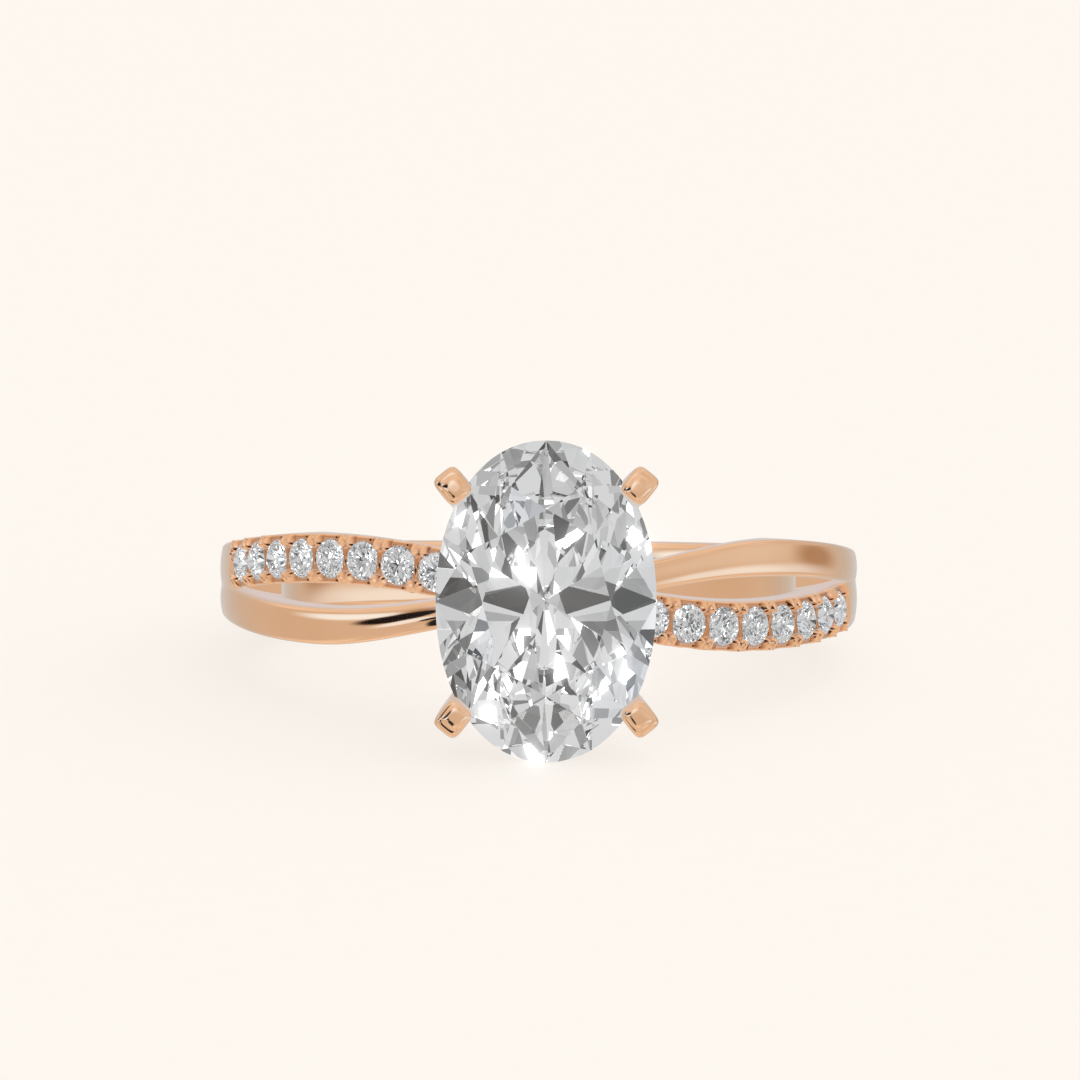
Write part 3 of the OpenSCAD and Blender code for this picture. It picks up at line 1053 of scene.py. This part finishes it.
CENTRE_BOUNCES = 5
SMALL_BOUNCES = 8
STONE_IOR = 2.417
STONE_MIRROR = (0.36, 0.34, 0.32, 1)
STONE_TINTS = ((1, 1, 1, 1), (0.985, 0.99, 1, 1))
CLOUD_SCALE = 1500.0
CLOUD_FROM = (0.4, 0.7)
# A mirrored ray that has met fewer surfaces than this comes straight off the metal or the floor
FIRST_MIRROR = 1.5


def clear_stone(name, bounces):
    """Clear cut stone, in which light is followed for a set number of bounces and then let straight out.

    Rays mirrored straight off the metal or the floor pass it by, so both mirror the studio alone.
    """
    material, n = new_material(name)
    cloud = n.remap(n.noise(n.coordinates("Object"), CLOUD_SCALE, 3.0), *CLOUD_FROM, 0, 1)
    colour = n.mix_colour(cloud, *STONE_TINTS)
    cut = n.add("ShaderNodeBsdfPrincipled", {"Base Color": colour, "Roughness": 0.0, "IOR": STONE_IOR,
                                             "Specular Tint": STONE_MIRROR, "Transmission Weight": 1.0})
    path = n.add("ShaderNodeLightPath").outputs
    spent = n.math("GREATER_THAN", path["Ray Depth"], bounces + 0.5)
    outside = n.math("SUBTRACT", path["Is Glossy Ray"], path["Is Transmission Ray"])
    mirrored = n.math("MULTIPLY", outside, n.math("LESS_THAN", path["Ray Depth"], FIRST_MIRROR))
    let_out = n.math("MAXIMUM", spent, mirrored)
    shader = n.add("ShaderNodeMixShader", {0: let_out, 1: cut.outputs[0],
                                           2: n.add("ShaderNodeBsdfTransparent").outputs[0]})
    n.add("ShaderNodeOutputMaterial", {"Surface": shader.outputs[0]})
    return material


CREAM = (0.997, 0.944, 0.884, 1)
CREAM_GRAIN = (0.992, 0.939, 0.879, 1)
GRAIN_SCALE = 900.0
GRAIN_FROM = (0.3, 0.7)
# Shares of the floor's look that are its own light and its sheen
FLOOR_LIT = 0.81
FLOOR_SHEEN = 0.06
SHEEN_ROUGH = 0.12
SHEEN_COLOUR = (0.99, 0.94, 0.88, 1)


def pale_floor():
    """Cream board, lit through so that shadows stay faint, with a slight sheen."""
    material, n = new_material("pale_floor")
    grain = n.remap(n.noise(n.coordinates("Object"), GRAIN_SCALE, 2.0), *GRAIN_FROM, 0, 1)
    colour = n.mix_colour(grain, CREAM, CREAM_GRAIN)
    matt = n.add("ShaderNodeBsdfDiffuse", {"Color": colour})
    lit = n.add("ShaderNodeEmission", {"Color": colour, "Strength": 1.0})
    sheen = n.add("ShaderNodeBsdfGlossy", {"Roughness": SHEEN_ROUGH, "Color": SHEEN_COLOUR})
    board = n.add("ShaderNodeMixShader", {0: FLOOR_LIT, 1: matt.outputs[0], 2: lit.outputs[0]})
    mixed = n.add("ShaderNodeMixShader", {0: FLOOR_SHEEN, 1: board.outputs[0], 2: sheen.outputs[0]})
    n.add("ShaderNodeOutputMaterial", {"Surface": mixed.outputs[0]})
    return material


# Studio light, as a world seen by each kind of ray

def facing(turn, rise):
    """A direction by its angles from straight out of the stone's face: to the right, and along the finger."""
    t, e = math.radians(turn), math.radians(rise)
    return math.cos(e) * (math.sin(t) * RING_X - math.cos(t) * RING_Y) + math.sin(e) * RING_Z


def ring_angles(n):
    """The turn and rise of the direction that a ray leaves in, in degrees, as a vector."""
    direction = n.coordinates("Generated")
    along = [n.dot(direction, axis) for axis in (RING_X, -RING_Y, RING_Z)]
    turn = n.math("ARCTAN2", along[0], along[1])
    rise = n.math("ARCSINE", along[2])
    angles = n.add("ShaderNodeCombineXYZ", {"X": turn, "Y": rise}).outputs[0]
    degrees = n.add("ShaderNodeVectorMath", {0: angles, "Scale": math.degrees(1)}, operation="SCALE")
    return degrees.outputs[0]


def light_patches(n, angles, base, patches):
    """Colour of the studio by direction: a base, with soft oval patches mixed over it."""
    colour = base
    for turn, rise, half_turn, half_rise, tilt, edge, patch in patches:
        place = n.add("ShaderNodeMapping", {"Vector": angles, "Location": (turn, rise, 0),
                                            "Rotation": (0, 0, math.radians(tilt)),
                                            "Scale": (half_turn, half_rise, 1)}, vector_type="TEXTURE")
        out = n.add("ShaderNodeVectorMath", {0: place.outputs[0]}, operation="LENGTH").outputs["Value"]
        weight = n.remap(out, 1 + edge, max(0, 1 - edge), 0, 1, smooth=True)
        colour = n.mix_colour(weight, colour, patch)
    return colour


def grey(level, warmth=0.0):
    return (level * (1 + warmth), level, level * (1 - warmth), 1)


SKY = (0.95, 1.0, 1.06, 1)
BLACK = (0.01, 0.004, 0.002, 1)
BACK_GREY = (0.68, 0.73, 0.75, 1)
BACK_PINK = (0.72, 0.66, 0.65, 1)
# Each patch: turn, rise, half width, half height, tilt, softness of its edge, colour.
# One that lies straight behind the ring stands twice, once for each end of the turn.
METAL_PATCHES = [
    (-30, 60, 70, 22, 0, 0.6, SKY),
    (75, 62, 60, 20, 0, 0.6, SKY),
    (70, 7, 55, 17, 0, 0.7, (0.88, 0.95, 1.04, 1)),
    (-16, 17, 19, 13, 0, 0.8, (1.2, 1.55, 2.1, 1)),
    (-72, 14, 24, 5, 4, 0.4, (1.1, 1.6, 2.3, 1)),
    (-38, 16, 15, 7, 9, 0.8, (0.45, 0.36, 0.28, 1)),
    (-46, 5.5, 25, 9.5, 9, 0.15, BLACK),
    (-42, -8, 19, 5, 5, 0.3, (1.1, 1.5, 2.1, 1)),
    (-24, -12, 9, 3.2, 6, 0.2, BLACK),
    (-16, -26, 10, 12, 0, 0.2, BLACK),
    (160, 2, 28, 30, 0, 0.6, BACK_GREY),
    (-160, 2, 28, 30, 0, 0.6, BACK_GREY),
    (180, 5, 9, 12, 0, 0.5, BACK_PINK),
    (-180, 5, 9, 12, 0, 0.5, BACK_PINK),
    (119, 1, 13, 13, 0, 0.6, (0.52, 0.42, 0.34, 1)),
    (76, -22, 42, 8, 10, 0.6, (1.04, 1.4, 1.9, 1)),
]
METAL_LEVEL = 0.78
METAL_UNEVEN = (0.8, 1.05)
METAL_SCALE = 2.2
METAL_FROM = (0.4, 0.6)
# Rise over which the even light along the ring gives way to the uneven one
OFF_RING = (20, 38)


def metal_studio(n, angles):
    """What the metal mirrors: light even along the ring and uneven off it, with soft boxes and flags."""
    tone = n.remap(n.noise(n.coordinates("Generated"), METAL_SCALE, 1.0), *METAL_FROM, *METAL_UNEVEN)
    rise = n.add("ShaderNodeSeparateXYZ", {0: angles}).outputs["Y"]
    off_ring = n.remap(n.math("ABSOLUTE", rise), *OFF_RING, 0, 1, smooth=True)
    level = n.math("ADD", METAL_LEVEL, n.math("MULTIPLY", off_ring, n.math("SUBTRACT", tone, METAL_LEVEL)))
    even = n.add("ShaderNodeCombineColor", {"Red": level, "Green": level, "Blue": level})
    return light_patches(n, angles, even.outputs[0], METAL_PATCHES)


STONE_PATCHES = [
    (9, -3, 15, 7, 0, 0.3, grey(0.05)),
    (-15, -8, 7, 4, 0, 0.3, grey(0.06)),
    (17, 21, 9, 6, 0, 0.5, grey(0.1)),
    (-18, 21, 8, 5, 0, 0.5, grey(0.12)),
    (-36, 22, 5, 4, 0, 0.5, grey(0.12)),
    (-12, 7, 6, 4, 0, 0.4, grey(0.6)),
    (-22, -3, 6, 5, 0, 0.4, grey(0.3)),
    (35, -7, 5, 5, 0, 0.5, grey(0.18)),
    (-43, 15, 5, 4, 0, 0.9, grey(6.0)),
    (-43, -16, 5, 4, 0, 0.9, grey(6.0)),
    (-147, -29, 6, 5, 0, 0.9, grey(7.0)),
    (-31, -28, 5, 5, 0, 0.9, grey(7.0)),
    (-131, 12, 6, 5, 0, 0.9, grey(5.0)),
    (170, 25, 5, 5, 0, 0.9, grey(4.0)),
    (142, -41, 6, 5, 0, 0.9, grey(5.0)),
    (-13, -51, 8, 5, 0, 0.9, grey(6.0)),
    (-113, 29, 6, 5, 0, 0.9, grey(3.0)),
]
BACKDROP_SCALE = 2.6
BACKDROP_FROM = (0.37, 0.54)
BACKDROP_RANGE = (0.03, 0.64)
LAMP_SCALE = 4.0
LAMP_FROM = (0.70, 0.84)
LAMP_OFFSET = (7.3, 1.1, 4.2)
LAMP_POWER = 2.4


def stone_studio(n, angles):
    """What the stones mirror: a backdrop of uneven greys with small lamps, and dark round the camera."""
    direction = n.coordinates("Generated")
    level = n.remap(n.noise(direction, BACKDROP_SCALE, 1.5), *BACKDROP_FROM, *BACKDROP_RANGE)
    shifted = n.add("ShaderNodeVectorMath", {0: direction, 1: LAMP_OFFSET}, operation="ADD").outputs[0]
    lamps = n.remap(n.noise(shifted, LAMP_SCALE, 0.0), *LAMP_FROM, 0, LAMP_POWER, smooth=True)
    level = n.math("ADD", level, lamps)
    backdrop = n.add("ShaderNodeCombineColor", {"Red": level, "Green": level, "Blue": level})
    return light_patches(n, angles, backdrop.outputs[0], STONE_PATCHES)


FILL_LEVEL = 1.04
FILL_FROM_RIGHT = 0.8
# A ray that has met more surfaces than this comes out of a stone
STONE_DEPTH = 2.5


def studio_world():
    world = bpy.data.worlds.new("studio")
    bpy.context.scene.world = world
    world.use_nodes = True
    world.cycles.sampling_method = "NONE"
    n = Nodes(world.node_tree)
    angles = ring_angles(n)
    path = n.add("ShaderNodeLightPath").outputs
    metal = n.add("ShaderNodeBackground", {"Color": metal_studio(n, angles)})
    stone = n.add("ShaderNodeBackground", {"Color": stone_studio(n, angles)})
    sideways = n.dot(n.coordinates("Generated"), RING_X)
    fill = n.math("ADD", n.math("MULTIPLY", sideways, FILL_FROM_RIGHT), FILL_LEVEL)
    soft = n.add("ShaderNodeBackground", {"Color": (1, 1, 1, 1), "Strength": fill})
    seen = n.add("ShaderNodeBackground", {"Color": CREAM, "Strength": 1.0})
    deep = n.math("GREATER_THAN", path["Ray Depth"], STONE_DEPTH)
    from_stone = n.math("MAXIMUM", path["Is Transmission Ray"], deep)
    shader = soft.outputs[0]
    seen_by = ((path["Is Glossy Ray"], metal), (from_stone, stone), (path["Is Camera Ray"], seen))
    for ray, background in seen_by:
        shader = n.add("ShaderNodeMixShader", {0: ray, 1: shader, 2: background.outputs[0]}).outputs[0]
    n.add("ShaderNodeOutputWorld", {"Surface": shader})


FLOOR_HALF = 2.0


def floor():
    mesh = bpy.data.meshes.new("floor")
    corners = [(FLOOR_HALF * x, FLOOR_HALF * y, 0) for x, y in ((-1, -1), (1, -1), (1, 1), (-1, 1))]
    mesh.from_pydata(corners, [], [(0, 1, 2, 3)])
    mesh.materials.append(pale_floor())
    board = bpy.data.objects.new("floor", mesh)
    bpy.context.scene.collection.objects.link(board)
    board.visible_glossy = False
    board.visible_transmission = False


# Camera, placed as the photo was taken

PHOTO_SIDE_PX = 1080
FOCAL_PX = 7281
RING_CENTRE_PX = (538.7, 582.0)
SCALE_PX_PER_MM = 29.72
CAMERA_DISTANCE = 0.245
VIEW_TURN = 0.95
VIEW_RISE = 2.5
SENSOR_MM = 36
CAMERA_REACH = (0.01, 10)


def photo_camera():
    data = bpy.data.cameras.new("photo_camera")
    data.sensor_width = SENSOR_MM
    data.lens = SENSOR_MM * FOCAL_PX / PHOTO_SIDE_PX
    data.clip_start, data.clip_end = CAMERA_REACH
    camera = bpy.data.objects.new("photo_camera", data)
    bpy.context.scene.collection.objects.link(camera)
    out = facing(-VIEW_TURN, VIEW_RISE)
    half = PHOTO_SIDE_PX / 2
    right_mm = (half - RING_CENTRE_PX[0]) / SCALE_PX_PER_MM
    up_mm = (RING_CENTRE_PX[1] - half) / SCALE_PX_PER_MM
    aim = RING_CENTRE + MM * (right_mm * RING_X + up_mm * RING_Z)
    back = (RING_CENTRE + CAMERA_DISTANCE * out - aim).normalized()
    right = RING_Z.cross(back).normalized()
    up = back.cross(right)
    turn = Matrix((right, up, back)).transposed().to_4x4()
    camera.matrix_world = Matrix.Translation(RING_CENTRE + CAMERA_DISTANCE * out) @ turn
    bpy.context.scene.camera = camera


GLOW_THRESHOLD = 1.1
GLOW_STRENGTH = 0.8
GLOW_SIZE = 0.42


def glow_on_sparkles(scene):
    """A soft glow round what is brighter than white, as a lens gives."""
    scene.use_nodes = True
    tree = scene.node_tree
    tree.nodes.clear()
    layers = tree.nodes.new("CompositorNodeRLayers")
    glare = tree.nodes.new("CompositorNodeGlare")
    glare.glare_type = "BLOOM"
    glare.quality = "HIGH"
    glare.inputs["Threshold"].default_value = GLOW_THRESHOLD
    glare.inputs["Strength"].default_value = GLOW_STRENGTH
    glare.inputs["Size"].default_value = GLOW_SIZE
    out = tree.nodes.new("CompositorNodeComposite")
    tree.links.new(layers.outputs["Image"], glare.inputs["Image"])
    tree.links.new(glare.outputs["Image"], out.inputs["Image"])


def render_looks():
    """Plain colours as lit, noise cleaned up, and enough bounces for the light in the stones."""
    scene = bpy.context.scene
    scene.view_settings.view_transform = "Standard"
    scene.view_settings.look = "None"
    scene.cycles.use_denoising = True
    scene.cycles.max_bounces = 24
    scene.cycles.transmission_bounces = 20
    scene.cycles.glossy_bounces = 12
    scene.cycles.diffuse_bounces = 2
    glow_on_sparkles(scene)


# Build

# Angles in degrees above which an edge stays sharp
POLISHED_SHARP = 40
SET_SHARP = 60
CLAW_SHARP = 45
# Clear space that the claws' seats are cut with round the centre stone
SEAT_CLEAR = 0.02
SPIN_SEED = 7
SPIN_TO = 45

gold = rose_gold()
gold_set = cut_rose_gold()
stone = clear_stone("centre_stone_clear", CENTRE_BOUNCES)
small_stone = clear_stone("small_stone_clear", SMALL_BOUNCES)

metal_pieces = [
    make_piece("plain_strand", *plain_strand(), "metal", gold, POLISHED_SHARP),
    make_piece("joined_band", *joined_band(), "metal", gold, POLISHED_SHARP, sewn=True),
]
for side, word in ((LEFT, "left"), (RIGHT, "right")):
    points, faces = pave_strand(side)
    metal_pieces.append(make_piece(f"stone_set_strand_{word}", points, faces, "metal", gold_set,
                                   SET_SHARP, cut_face_and_painted_shade(points)))
setting = make_piece(
    "four_claw_setting",
    *joined_meshes([centre_claw(x, y) for x in (-1, 1) for y in (-1, 1)] + [gallery_rail()]),
    "metal", gold, CLAW_SHARP)
cut_with(setting, make_piece("claw_cutter", *centre_stone_cut(SEAT_CLEAR), "metal", gold))
metal_pieces.append(setting)
for piece in metal_pieces:
    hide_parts("shank_and_setting")
    piece.visible_glossy = False
    piece.visible_transmission = False

oval = make_piece("centre_stone_cut", *centre_stone_cut(), "centre_stone", stone)
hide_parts("centre_stone")

turns = np.random.default_rng(SPIN_SEED).uniform(0, SPIN_TO, 2 * SMALL_COUNT)
for side, word in ((LEFT, "left"), (RIGHT, "right")):
    for i in range(SMALL_COUNT):
        turn = turns[i + (SMALL_COUNT if side == RIGHT else 0)]
        small = make_piece(f"small_stone_{word}_{i + 1}", *small_stone_cut(side * stone_angle(i), turn),
                           "small_stones", small_stone)
        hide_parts(f"pave_stone_{word}_{i + 1}")

floor()
studio_world()
photo_camera()
render_looks()
